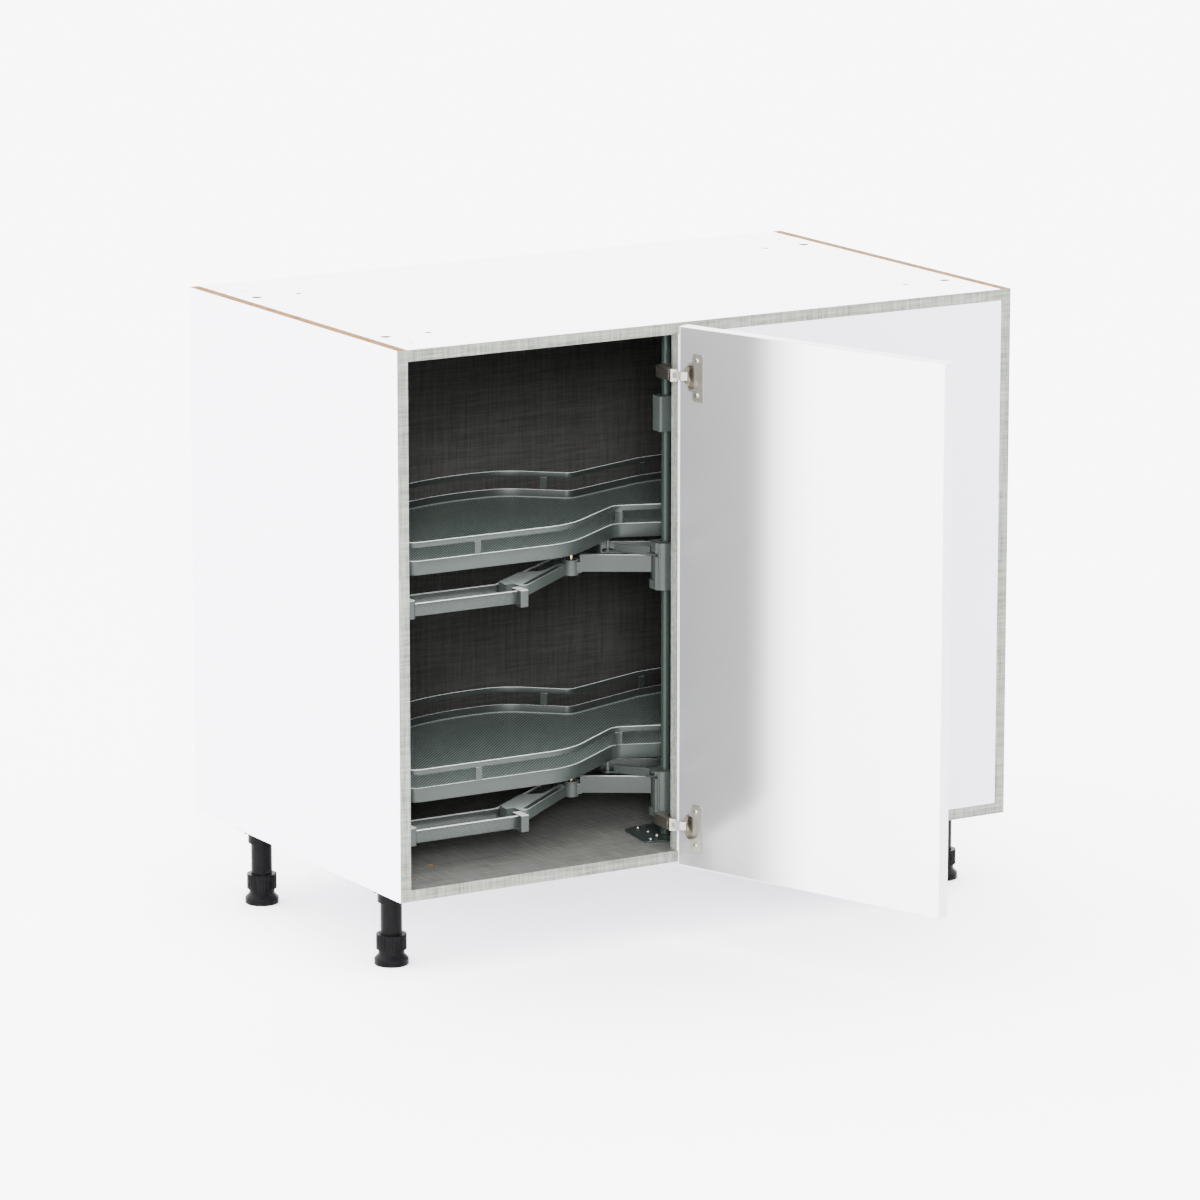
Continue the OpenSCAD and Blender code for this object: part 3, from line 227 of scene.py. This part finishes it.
class Finish:
    """A material under construction: one shader and short names for its pattern nodes."""

    def __init__(
        self, name, metallic=0.0, specular=0.5, coat=0.0, coat_roughness=0.1, coat_ior=1.5
    ):
        self.material = bpy.data.materials.new(name)
        self.material.use_nodes = True
        self.tree = self.material.node_tree
        self.tree.nodes.clear()
        output = self.node("ShaderNodeOutputMaterial")
        self.shader = self.node("ShaderNodeBsdfPrincipled")
        self.shader.inputs["Metallic"].default_value = metallic
        self.shader.inputs["Specular IOR Level"].default_value = specular
        self.shader.inputs["Coat Weight"].default_value = coat
        self.shader.inputs["Coat Roughness"].default_value = coat_roughness
        self.shader.inputs["Coat IOR"].default_value = coat_ior
        self.link(self.shader.outputs["BSDF"], output.inputs["Surface"])
        coordinates = self.node("ShaderNodeTexCoord")
        self.place = coordinates.outputs["Object"]
        self.facing = coordinates.outputs["Normal"]

    def node(self, kind, **values):
        made = self.tree.nodes.new(kind)
        for key, value in values.items():
            setattr(made, key, value)
        return made

    def link(self, source, target):
        self.tree.links.new(source, target)

    def put(self, target, value):
        """Links a socket or sets a plain value."""
        if isinstance(value, bpy.types.NodeSocket):
            self.link(value, target)
        elif target.type == "RGBA":
            target.default_value = (*value, 1.0)
        else:
            target.default_value = value

    def mapped(self, scale=(1, 1, 1), turn=0.0):
        """The place on the object, scaled, or turned about Z."""
        made = self.node("ShaderNodeMapping")
        self.link(self.place, made.inputs["Vector"])
        made.inputs["Scale"].default_value = scale
        made.inputs["Rotation"].default_value = (0, 0, turn)
        return made.outputs["Vector"]

    def noise(self, frequency, detail, rough=0.5):
        """Noise with a frequency per metre, one for all axes or a list of three."""
        scale = frequency if isinstance(frequency, list) else [frequency] * 3
        made = self.node("ShaderNodeTexNoise")
        self.link(self.mapped(scale), made.inputs["Vector"])
        made.inputs["Scale"].default_value = 1.0
        made.inputs["Detail"].default_value = detail
        made.inputs["Roughness"].default_value = rough
        return made.outputs["Fac"]

    def cells(self, frequency, channel):
        """A random value for each cell, which is one channel of the cell's colour."""
        made = self.node("ShaderNodeTexVoronoi", feature="F1")
        self.link(self.mapped(frequency), made.inputs["Vector"])
        made.inputs["Scale"].default_value = 1.0
        parts = self.node("ShaderNodeSeparateColor")
        self.link(made.outputs["Color"], parts.inputs["Color"])
        return parts.outputs[channel]

    def math(self, operation, a, b=0.0, c=0.0):
        made = self.node("ShaderNodeMath", operation=operation)
        for socket, value in zip(made.inputs, (a, b, c)):
            self.put(socket, value)
        return made.outputs["Value"]

    def spread(self, value, low, high, out_low=0.0, out_high=1.0, kind="LINEAR"):
        """A value's span from low to high, stretched over another span."""
        made = self.node("ShaderNodeMapRange", interpolation_type=kind)
        for socket, v in zip(made.inputs, (value, low, high, out_low, out_high)):
            self.put(socket, v)
        return made.outputs["Result"]

    def drift(self, noise, out_low=0.0, out_high=1.0):
        """A noise pattern stretched over a span."""
        return self.spread(noise, NOISE_LOW, NOISE_HIGH, out_low, out_high)

    def mixed(self, kind, share, a, b):
        """Two values of a type of data, mixed by a share."""
        made = self.node("ShaderNodeMix", data_type=kind)
        first, second, result = MIX_SOCKETS[kind]
        self.put(made.inputs[0], share)
        self.put(made.inputs[first], a)
        self.put(made.inputs[second], b)
        return made.outputs[result]

    def mix(self, share, a, b):
        return self.mixed("RGBA", share, a, b)

    def blend(self, share, a, b):
        return self.mixed("FLOAT", share, a, b)

    def varied(self, noise, tint, low, high=1.0):
        """A colour whose brightness drifts between two factors with a noise pattern."""
        return self.mix(self.drift(noise), toned(tint, low), toned(tint, high))

    def axes(self, vector):
        """The X, Y and Z of a vector."""
        made = self.node("ShaderNodeSeparateXYZ")
        self.link(vector, made.inputs["Vector"])
        return [made.outputs[axis] for axis in "XYZ"]

    def coordinate(self, axis):
        return self.axes(self.place)["XYZ".index(axis)]

    def beyond(self, axis, value):
        return self.math("GREATER_THAN", self.coordinate(axis), value)

    def below(self, axis, value):
        return self.math("LESS_THAN", self.coordinate(axis), value)

    def done(self, tint, roughness, height=None, depth=0.0):
        """Sets the shader's colour, roughness and relief, and gives back the material."""
        self.put(self.shader.inputs["Base Color"], tint)
        self.put(self.shader.inputs["Roughness"], roughness)
        if height is not None:
            bump = self.node("ShaderNodeBump")
            bump.inputs["Distance"].default_value = depth
            bump.inputs["Strength"].default_value = 1.0
            self.link(height, bump.inputs["Height"])
            self.link(bump.outputs["Normal"], self.shader.inputs["Normal"])
        return self.material


def foil(f, tint):
    """Smooth foil: colour, roughness and relief."""
    fine = f.noise(2200, detail=1)
    relief_share = 0.12
    shade = f.varied(f.noise(9, detail=3), tint, low=0.985)
    roughness = f.drift(fine, out_low=0.30, out_high=0.38)
    return shade, roughness, f.math("MULTIPLY", fine, relief_share)


def linen(f, pale, dark, along, across):
    """Crossing threads with thick ones among them, running along two axes."""
    size = sizes()
    thread_run, slub_run = 22, 26
    thread_weight, slub_weight = 0.55, 0.45
    tint_spread, relief_spread = 0.22, 0.3

    def threads(axis, pitch, run):
        """Noise drawn out along an axis, over a run of so many pitches."""
        frequency = [1 / pitch] * 3
        frequency["XYZ".index(axis)] = 1 / (pitch * run)
        return f.noise(frequency, detail=1, rough=0.4)

    def crossed(pitch, run):
        """Threads along both axes, whose sum lies around 1."""
        return f.math("ADD", threads(along, pitch, run), threads(across, pitch, run))

    fine = crossed(size.thread, thread_run)
    thick = crossed(size.slub, slub_run)
    weave = f.math(
        "ADD", f.math("MULTIPLY", fine, thread_weight), f.math("MULTIPLY", thick, slub_weight)
    )
    tint = f.mix(f.spread(weave, 1 - tint_spread, 1 + tint_spread), dark, pale)
    roughness = f.spread(
        fine, 1 - relief_spread, 1 + relief_spread, out_low=0.66, out_high=0.56
    )
    return tint, roughness, fine


def chipboard(f):
    """Raw cut edge of chipboard: large flakes with small chips over them."""
    c = colours()
    flake = sizes().flake
    # Cells in the length of a flake, along each axis
    flake_cells, chip_cells = (0.5, 0.5, 1), (2.2, 2.2, 2.4)
    flake_weight, chip_weight = 0.6, 0.4
    rough = 0.85
    flakes = f.cells([n / flake for n in flake_cells], "Red")
    chips = f.cells([n / flake for n in chip_cells], "Green")
    share = f.math("MULTIPLY_ADD", flakes, flake_weight, f.math("MULTIPLY", chips, chip_weight))
    return f.mix(share, c.chip_dark, c.chip_pale), rough, share


def choose(f, share, a, b):
    """Mixes two finishes, each of colour, roughness and relief."""
    return (
        f.mix(share, a[0], b[0]),
        f.blend(share, a[1], b[1]),
        f.blend(share, a[2], b[2]),
    )


def painted(name, tint, metallic, rough, specular=0.3, top=None):
    """Powder coat or satin metal with a fine grain, slow drifts of tone and, when a top colour is
    given, a painted highlight on the faces turned upward.
    """
    f = Finish(name, metallic=metallic, specular=specular)
    grain = f.noise(1400, detail=2)
    shade = f.varied(f.noise(14, detail=2), tint, low=0.93, high=1.05)
    # Painted highlight: faces turned upward take the top colour, as if lit from above
    if top is not None:
        steep, level = 0.3, 0.7
        shade = f.mix(f.spread(f.axes(f.facing)[2], steep, level), shade, top)
    smoother, rougher = 0.05, 0.06
    return f.done(
        shade, f.drift(grain, rough - smoother, rough + rougher), grain, depth=0.05 * MM
    )


def brushed(name, tint, rough):
    """Plated or drawn metal with fine upright lines."""
    f = Finish(name, metallic=1.0)
    lines = f.noise([1800, 1800, 60], detail=2)
    shade = f.varied(f.noise(40, detail=2), tint, low=0.85)
    smoother, rougher = 0.06, 0.08
    return f.done(
        shade, f.drift(lines, rough - smoother, rough + rougher), lines, depth=0.03 * MM
    )


def moulded(name, tint, rough, specular):
    """Moulded plastic with a fine pebbled skin."""
    f = Finish(name, specular=specular)
    pebbles = f.noise(1100, detail=2)
    shade = f.varied(f.noise(25, detail=2), tint, low=0.9)
    smoother, rougher = 0.05, 0.08
    return f.done(
        shade, f.drift(pebbles, rough - smoother, rough + rougher), pebbles, depth=0.06 * MM
    )


def dotted_mat(name, top):
    """Mat with a fine grid of raised dots on its diagonals, and a plain lip above a height."""
    c = colours()
    f = Finish(name, specular=0.35)
    step = 2 * math.pi / sizes().dot_pitch
    diagonals = f.axes(f.mapped(turn=math.radians(45)))[:2]
    waves = [f.math("COSINE", f.math("MULTIPLY", way, step)) for way in diagonals]
    dot_peak = 1.1
    lip = f.beyond("Z", top + SKIN)
    ground = f.math("SUBTRACT", 1.0, lip)
    dots = f.math("MULTIPLY", f.spread(f.math("ADD", *waves), 0.0, dot_peak), ground)
    shade = f.mix(lip, f.mix(dots, c.mat_grey, c.mat_dot), c.mat_lip)
    roughness = f.spread(dots, 0, 1, out_low=0.6, out_high=0.42)
    return f.done(shade, roughness, dots, depth=0.4 * MM)


# Pieces


def dress(node, material):
    """Gives a CAD node one material."""
    slots = frame["nodes"][node].data.materials
    slots.clear()
    slots.append(material)


def dress_board(node, axis, first, second):
    """Gives a board a finish for each of its faces on an axis, and raw chipboard between."""
    low, high = (getattr(corner, axis.lower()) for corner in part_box(node))
    f = Finish(node + "_faces", specular=0.12)
    core = chipboard(f)
    look = choose(f, f.below(axis, low + SKIN), core, first(f))
    look = choose(f, f.beyond(axis, high - SKIN), look, second(f))
    dress(node, f.done(*look, depth=0.12 * MM))


def welded(node):
    """A bmesh copy of a CAD node with its triangles joined into plain faces."""
    bm = bmesh.new()
    bm.from_mesh(frame["nodes"][node].data)
    bmesh.ops.remove_doubles(bm, verts=bm.verts, dist=WELD)
    bmesh.ops.dissolve_limit(bm, angle_limit=FLAT_TURN, verts=bm.verts, edges=bm.edges)
    return bm


def soften(bm, radius, segments=2):
    """Rounds the sharp edges."""
    sharp = [e for e in bm.edges if e.is_manifold and e.calc_face_angle(0) > SHARP_TURN]
    bmesh.ops.bevel(
        bm, geom=sharp, offset=radius, offset_type="OFFSET", segments=segments, profile=0.5,
        affect="EDGES", clamp_overlap=True, material=-1,
    )


def piece(bm, name, node, material):
    """Makes a bmesh the visible piece that replaces a CAD node and rides on its body."""
    for face in bm.faces:
        face.smooth = True
    for edge in bm.edges:
        edge.smooth = edge.is_manifold and edge.calc_face_angle(0) < CREASE_TURN
    mesh = bpy.data.meshes.new(name)
    bm.to_mesh(mesh)
    bm.free()
    mesh.materials.append(material)
    made = bpy.data.objects.new(name, mesh)
    bpy.context.scene.collection.objects.link(made)
    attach(made, body_of_node(node))
    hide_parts(node)


def formed(node, material, radius, segments=2):
    """A copy of a CAD node with softened edges, which replaces the node."""
    bm = welded(node)
    soften(bm, radius, segments)
    piece(bm, node + "_formed", node, material)


def lipped_mat(node, material):
    """The tray mat with a raised lip along its edge."""
    size = sizes()
    upright = 0.9
    edge_share = 0.2
    bm = welded(node)
    top = [face for face in bm.faces if face.normal.z > upright]
    inner = bmesh.ops.inset_region(
        bm, faces=top, thickness=size.lip_width, depth=0, use_even_offset=True
    )
    ring = inner["faces"]
    lip = bmesh.ops.extrude_face_region(bm, geom=ring)
    raised = [v for v in lip["geom"] if isinstance(v, bmesh.types.BMVert)]
    bmesh.ops.translate(bm, verts=raised, vec=(0, 0, size.lip_height))
    bmesh.ops.delete(bm, geom=ring, context="FACES")
    soften(bm, size.lip_width * edge_share)
    piece(bm, node + "_lipped", node, material)


# Operators


class CABINET_OT_boards(bpy.types.Operator):
    """Faces the boards of the carcass"""

    bl_idname = "cabinet.boards"
    bl_label = "Carcass boards"

    def execute(self, context):
        c = colours()

        def white(f):
            return foil(f, c.white_foil)

        # The fixed panel's front takes the darker white: painted shade
        def blind(f):
            return foil(f, c.blind_shaded_white)

        # The cabinet's floor takes the darker linen: painted shade
        def floor(f):
            return linen(f, c.shaded_floor_pale, c.shaded_floor_grey, "X", "Y")

        # The inner walls take the darkest linen: painted shade
        def inner(along, across):
            return lambda f: linen(f, c.shaded_inner_pale, c.shaded_inner_dark, along, across)

        dress_board("left_side_panel", "X", white, inner("Z", "Y"))
        dress_board("right_side_panel", "X", inner("Z", "Y"), white)
        dress_board("top_panel", "Z", inner("X", "Y"), white)
        dress_board("bottom_panel", "Z", white, floor)
        dress_board("blind_panel", "Y", blind, inner("Z", "X"))
        dress_board("back_panel", "Y", inner("Z", "X"), white)
        f = Finish("front_edge_linen", specular=0.15)
        look = linen(f, c.linen_pale, c.linen_grey, "Z", "X")
        dress("front_edge_bands", f.done(*look, depth=0.2 * MM))
        return {"FINISHED"}


class CABINET_OT_door(bpy.types.Operator):
    """Finishes the door in gloss white, with painted shade on its inner face beside the hinges"""

    bl_idname = "cabinet.door"
    bl_label = "Door"

    def execute(self, context):
        c, size = colours(), sizes()
        f = Finish("door_gloss", coat=1.0, coat_roughness=0.12, coat_ior=1.9)
        # Painted shade near the hinges on the door's inner face
        shade = f.mix(self.shaded(f, size.door_turn, size.door_shade), c.door_white, c.door_shade)
        wave = f.noise(22, detail=2)
        dress("door_panel", f.done(shade, roughness=0.18, height=wave, depth=0.04 * MM))
        # The edge band takes the darker white: painted shade along the door's edges
        f = Finish("door_rim_gloss", specular=0.4)
        dress("door_edge_band", f.done(*foil(f, c.door_rim_shaded), depth=0.04 * MM))
        return {"FINISHED"}

    def shaded(self, f, turn, width):
        """Share of painted shade, on the inner face beside the hinges of the door as it is drawn.
        """
        along = Vector((math.cos(turn), -math.sin(turn), 0))
        across = Vector((math.sin(turn), math.cos(turn), 0))
        corners = [v.co for v in frame["nodes"]["door_panel"].data.vertices]
        edge, face = (min(v.dot(axis) for v in corners) for axis in (along, across))
        from_edge, from_face = f.axes(f.mapped(turn=turn))[:2]
        full, clear = edge + width * 0.6, edge + width * 1.35
        lit = f.spread(from_edge, full, clear, kind="SMOOTHSTEP")
        inside = f.math("LESS_THAN", from_face, face + SKIN)
        return f.math("MULTIPLY", f.math("SUBTRACT", 1.0, lit), inside)


class CABINET_OT_hinges(bpy.types.Operator):
    """Plates the hinges"""

    bl_idname = "cabinet.hinges"
    bl_label = "Hinges"

    def execute(self, context):
        nickel = brushed("nickel_plate", colours().nickel, rough=0.34)
        for node in (
            "hinge_cups", "hinge_arms", "hinge_plates", "hinge_cup_screws",
            "lower_hinge_link", "upper_hinge_link",
        ):
            formed(node, nickel, sizes().plated_edge)
        return {"FINISHED"}


class CABINET_OT_fixings(bpy.types.Operator):
    """Finishes cams, bolts, dowels and screws"""

    bl_idname = "cabinet.fixings"
    bl_label = "Board fixings"

    def execute(self, context):
        c, size = colours(), sizes()
        cam_metal = brushed("cast_zinc", c.cam_metal, rough=0.42)
        for node in ("cam_locks", "cam_bolts"):
            formed(node, cam_metal, size.fixing_edge)
        formed("board_screws", brushed("zinc_plate", c.zinc, rough=0.3), size.fixing_edge)
        f = Finish("beech_grain")
        grain = f.noise([900, 900, 60], detail=3)
        shade = f.varied(grain, c.beech, low=0.8)
        dress("dowels", f.done(shade, roughness=0.7, height=grain, depth=0.1 * MM))
        return {"FINISHED"}


class CABINET_OT_legs(bpy.types.Operator):
    """Moulds the legs and their feet"""

    bl_idname = "cabinet.legs"
    bl_label = "Legs and feet"

    def execute(self, context):
        black = moulded("black_plastic_skin", colours().black_plastic, rough=0.38, specular=0.04)
        for node in ("leg_sockets", "leg_tubes", *FEET):
            formed(node, black, sizes().leg_edge)
        return {"FINISHED"}


class CABINET_OT_post(bpy.types.Operator):
    """Paints the post, its plates, clip and hubs"""

    bl_idname = "cabinet.post"
    bl_label = "Post and hubs"

    def execute(self, context):
        c, size = colours(), sizes()
        gloss = painted("post_gloss", c.post_paint, metallic=0.1, rough=0.16, specular=0.14)
        formed("post", gloss, size.metal_edge)
        paint = painted("plate_powder_coat", c.plate_paint, metallic=0.2, rough=0.4)
        for node in ("post_base_plate", "post_top_plate"):
            formed(node, paint, size.metal_edge)
        grey = moulded("moulded_grey_skin", c.moulded_grey, rough=0.42, specular=0.2)
        for node in ("post_clip", "lower_hub_block", "upper_hub_block"):
            formed(node, grey, size.plastic_edge)
        formed("hub_pins", brushed("pin_zinc", c.zinc, rough=0.3), size.plated_edge)
        return {"FINISHED"}


class CABINET_OT_arms(bpy.types.Operator):
    """Paints the swing arms and control links, and turns their pins in brass"""

    bl_idname = "cabinet.arms"
    bl_label = "Arms and links"

    def execute(self, context):
        c, size = colours(), sizes()
        arm_tint, link_tint = toned(c.tray_paint, 0.7), toned(c.tray_paint, 0.6)
        # Painted highlight on the arms' upward faces
        paint = painted("arm_powder_coat", arm_tint, metallic=0.3, rough=0.36, top=c.painted_top_highlight)
        dark = painted("link_powder_coat", link_tint, metallic=0.3, rough=0.4)
        brass = brushed("turned_brass", c.brass, rough=0.25)
        for level in TRAYS:
            formed(f"{level}_swing_arm", paint, size.metal_edge)
            formed(f"{level}_control_link", dark, size.metal_edge)
            formed(f"{level}_pivot_pin", brass, size.plated_edge)
        return {"FINISHED"}


class CABINET_OT_carriers(bpy.types.Operator):
    """Finishes the channels, rails, sockets, clamps and supports under the trays"""

    bl_idname = "cabinet.carriers"
    bl_label = "Tray carriers"

    def execute(self, context):
        c, size = colours(), sizes()
        # Painted highlights on the upward faces: a dimmer one on the channels and supports, a
        # bright one on the rails, sockets and clamps
        grey = painted(
            "channel_skin", c.moulded_grey, metallic=0.0, rough=0.4, specular=0.2,
            top=c.painted_channel_highlight,
        )
        metal = painted("rail_satin", c.rail_metal, metallic=0.5, rough=0.28, top=c.painted_top_highlight)
        for level in TRAYS:
            formed(f"{level}_pivot_channel", grey, size.plastic_edge)
            formed(f"{level}_rail_socket", metal, size.plastic_edge)
            formed(f"{level}_carrier_rails", metal, size.rail_edge, segments=3)
            formed(f"{level}_rail_clamp", metal, size.plastic_edge)
            formed(f"{level}_tray_supports", grey, size.metal_edge)
        return {"FINISHED"}


class CABINET_OT_trays(bpy.types.Operator):
    """Finishes the trays, their mats and rims"""

    bl_idname = "cabinet.trays"
    bl_label = "Trays"

    def execute(self, context):
        c, size = colours(), sizes()
        # Painted highlight on the upward faces of the rims, bands and posts
        paint = painted(
            "rim_powder_coat", c.tray_paint, metallic=0.3, rough=0.34, top=c.painted_top_highlight
        )
        under = painted("tray_board_face", c.moulded_grey, metallic=0.1, rough=0.5)
        for level in TRAYS:
            mat = f"{level}_tray_mat"
            mat_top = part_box(mat)[1].z
            formed(f"{level}_tray_floor", under, size.metal_edge)
            lipped_mat(mat, dotted_mat(f"{level}_mat_dots", mat_top))
            formed(f"{level}_tray_posts", paint, size.metal_edge)
            for part in ("band", "rail"):
                formed(f"{level}_tray_{part}", paint, size.rim_edge, segments=3)
        return {"FINISHED"}


def heading(azimuth, elevation):
    """Direction that looks in from the front at an azimuth, and down at an elevation."""
    level = math.cos(elevation)
    return Vector(
        (math.sin(azimuth) * level, math.cos(azimuth) * level, -math.sin(elevation))
    )


def aim(made, way):
    """Turns a camera or lamp to point a way, and links it to the scene."""
    made.rotation_mode = "QUATERNION"
    made.rotation_quaternion = way.to_track_quat("-Z", "Y")
    bpy.context.scene.collection.objects.link(made)


class CABINET_OT_stage(bpy.types.Operator):
    """Sets up the floor, the surround, the lamp and the camera"""

    bl_idname = "cabinet.stage"
    bl_label = "Stage"

    def execute(self, context):
        stage = context.scene.cabinet_stage
        self.floor(stage)
        self.surround(context.scene, stage)
        self.far_lamp(stage)
        self.camera(context.scene, stage)
        return {"FINISHED"}

    def floor(self, stage):
        f = Finish("floor_paper", specular=0.0)
        tone = f.noise(3, detail=2)
        shade = f.mix(tone, stage.paper_dim, stage.paper_bright)
        material = f.done(shade, roughness=1.0)
        bm = bmesh.new()
        bmesh.ops.create_grid(bm, x_segments=8, y_segments=8, size=stage.paper_reach)
        mesh = bpy.data.meshes.new("floor")
        bm.to_mesh(mesh)
        bm.free()
        mesh.materials.append(material)
        floor = bpy.data.objects.new("floor", mesh)
        bpy.context.scene.collection.objects.link(floor)

    def surround(self, scene, stage):
        """A white dome of soft light, bright at the left, behind and overhead, dim in front."""
        world = bpy.data.worlds.new("surround")
        scene.world = world
        world.use_nodes = True
        tree = world.node_tree
        left_fade, back_fade, top_fade = (-0.9, 0.1), (-0.05, 0.5), (0.05, 0.9)

        def put(target, value):
            if isinstance(value, bpy.types.NodeSocket):
                tree.links.new(value, target)
            else:
                target.default_value = value

        def ramp(value, fade, out_low, out_high):
            """Goes from one light to another while a part of the direction crosses a span."""
            made = tree.nodes.new("ShaderNodeMapRange")
            made.interpolation_type = "SMOOTHSTEP"
            for socket, v in zip(made.inputs, (value, *fade, out_low, out_high)):
                put(socket, v)
            return made.outputs["Result"]

        way = tree.nodes.new("ShaderNodeSeparateXYZ")
        put(way.inputs["Vector"], tree.nodes.new("ShaderNodeTexCoord").outputs["Generated"])
        light = ramp(way.outputs["X"], left_fade, stage.sky_left, stage.sky_front)
        light = ramp(way.outputs["Y"], back_fade, light, stage.sky_back)
        light = ramp(way.outputs["Z"], top_fade, light, stage.sky_top)
        ground = tree.nodes["Background"]
        put(ground.inputs["Color"], (1, 1, 1, 1))
        put(ground.inputs["Strength"], light)

    def far_lamp(self, stage):
        light = bpy.data.lights.new("far_lamp", "SUN")
        light.energy = stage.lamp
        light.angle = stage.lamp_spread
        lamp = bpy.data.objects.new("far_lamp", light)
        aim(lamp, heading(stage.lamp_azimuth, stage.lamp_elevation))

    def camera(self, scene, stage):
        ahead = heading(stage.azimuth, stage.elevation)
        lens = bpy.data.cameras.new("camera")
        lens.lens = stage.focal
        lens.sensor_width = 36
        lens.clip_end = 100
        camera = bpy.data.objects.new("camera", lens)
        camera.location = Vector(stage.target) - ahead * stage.distance
        aim(camera, ahead)
        scene.camera = camera


MAKERS = (
    CABINET_OT_boards,
    CABINET_OT_door,
    CABINET_OT_hinges,
    CABINET_OT_fixings,
    CABINET_OT_legs,
    CABINET_OT_post,
    CABINET_OT_arms,
    CABINET_OT_carriers,
    CABINET_OT_trays,
    CABINET_OT_stage,
)


class VIEW3D_PT_cabinet(bpy.types.Panel):
    """Lists the steps that dress the cabinet"""

    bl_label = "Blind corner cabinet"
    bl_idname = "VIEW3D_PT_cabinet"
    bl_space_type = "VIEW_3D"
    bl_region_type = "UI"
    bl_category = "Cabinet"

    def draw(self, context):
        for maker in MAKERS:
            self.layout.operator(maker.bl_idname)


CLASSES = (CabinetColours, CabinetSizes, CabinetStage, *MAKERS, VIEW3D_PT_cabinet)


def register():
    for cls in CLASSES:
        bpy.utils.register_class(cls)
    bpy.types.Scene.cabinet_colours = bpy.props.PointerProperty(type=CabinetColours)
    bpy.types.Scene.cabinet_sizes = bpy.props.PointerProperty(type=CabinetSizes)
    bpy.types.Scene.cabinet_stage = bpy.props.PointerProperty(type=CabinetStage)


def unregister():
    del bpy.types.Scene.cabinet_stage
    del bpy.types.Scene.cabinet_sizes
    del bpy.types.Scene.cabinet_colours
    for cls in reversed(CLASSES):
        bpy.utils.unregister_class(cls)


def main():
    register()
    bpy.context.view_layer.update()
    for maker in MAKERS:
        group, name = maker.bl_idname.split(".")
        getattr(getattr(bpy.ops, group), name)()


if __name__ == "__main__":
    main()
